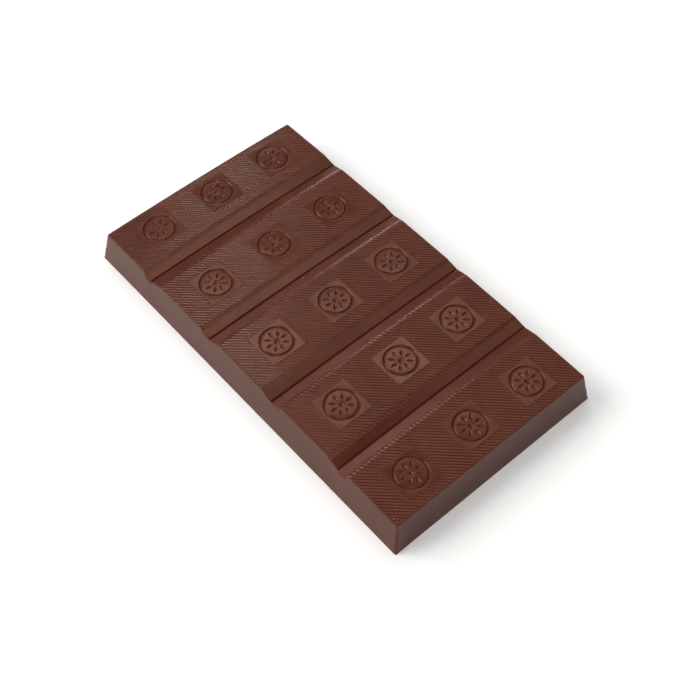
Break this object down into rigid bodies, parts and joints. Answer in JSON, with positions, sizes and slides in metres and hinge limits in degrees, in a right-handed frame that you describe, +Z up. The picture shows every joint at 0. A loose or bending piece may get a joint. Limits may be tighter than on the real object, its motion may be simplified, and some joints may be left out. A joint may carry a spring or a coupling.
{
  "type": "chocolate bar",
  "caption": "Flat moulded chocolate tablet with drafted sides, V valleys between strips, diagonal ribs and square fields with a plain engraved roundel.",
  "frame": {"origin": "middle of the flat back, on the surface that the tablet lies on", "axes": "+X across the tablet, +Y along its length, +Z up out of the ribbed face"},
  "size_m": [0.067, 0.12, 0.0109],
  "materials": {
    "chocolate": "solid dark milk chocolate straight from the mould, with a soft satin gloss"
  },
  "bodies": {
    "root": {"bar": "chocolate"}
  },
  "joints": []
}
